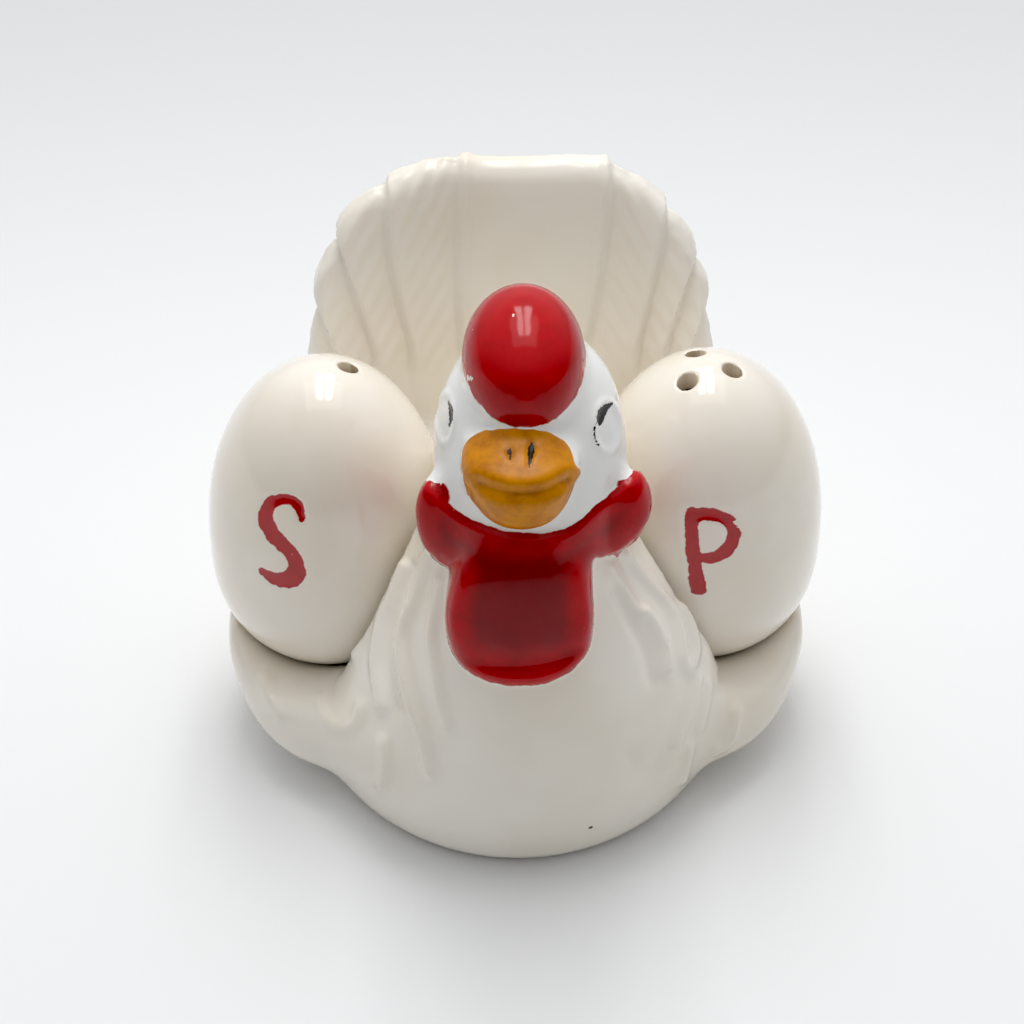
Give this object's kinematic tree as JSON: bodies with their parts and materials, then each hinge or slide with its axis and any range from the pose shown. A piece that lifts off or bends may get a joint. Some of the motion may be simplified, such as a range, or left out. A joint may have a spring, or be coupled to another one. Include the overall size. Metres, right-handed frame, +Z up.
{
  "type": "hen salt and pepper shaker set",
  "caption": "White glazed pottery hen with a red comb and fan tail, carrying an egg-shaped salt shaker and pepper shaker that lift out of cups beside the body.",
  "frame": {"origin": "on the table, under the middle of the whole set", "axes": "+Z up, the hen faces -Y, the salt egg is on the -X side and the pepper egg on the +X side"},
  "size_m": [0.123, 0.1086, 0.12],
  "materials": {
    "hen_glaze": "gloss",
    "egg_glaze": "gloss",
    "cork": "matte"
  },
  "bodies": {
    "hen": {"hen_holder": "hen_glaze"},
    "salt_egg": {"salt_egg_shell": "egg_glaze"},
    "salt_stopper": {"salt_stopper": "cork"},
    "pepper_egg": {"pepper_egg_shell": "egg_glaze"},
    "pepper_stopper": {"pepper_stopper": "cork"}
  },
  "joints": [
    {"name": "salt_egg_lift", "type": "slide", "parent": "hen", "child": "salt_egg", "axis": [0, 0, 1], "range_m": [0, 0.11]},
    {"name": "salt_stopper_pull", "type": "slide", "parent": "salt_egg", "child": "salt_stopper", "axis": [0, 0, -1], "range_m": [0, 0.011]},
    {"name": "pepper_egg_lift", "type": "slide", "parent": "hen", "child": "pepper_egg", "axis": [0, 0, 1], "range_m": [0, 0.11]},
    {"name": "pepper_stopper_pull", "type": "slide", "parent": "pepper_egg", "child": "pepper_stopper", "axis": [0, 0, -1], "range_m": [0, 0.011]}
  ],
  "couplings": [
    {"joint": "salt_stopper_pull", "follows": "salt_egg_lift", "ratio": 0.1},
    {"joint": "pepper_stopper_pull", "follows": "pepper_egg_lift", "ratio": 0.1}
  ]
}
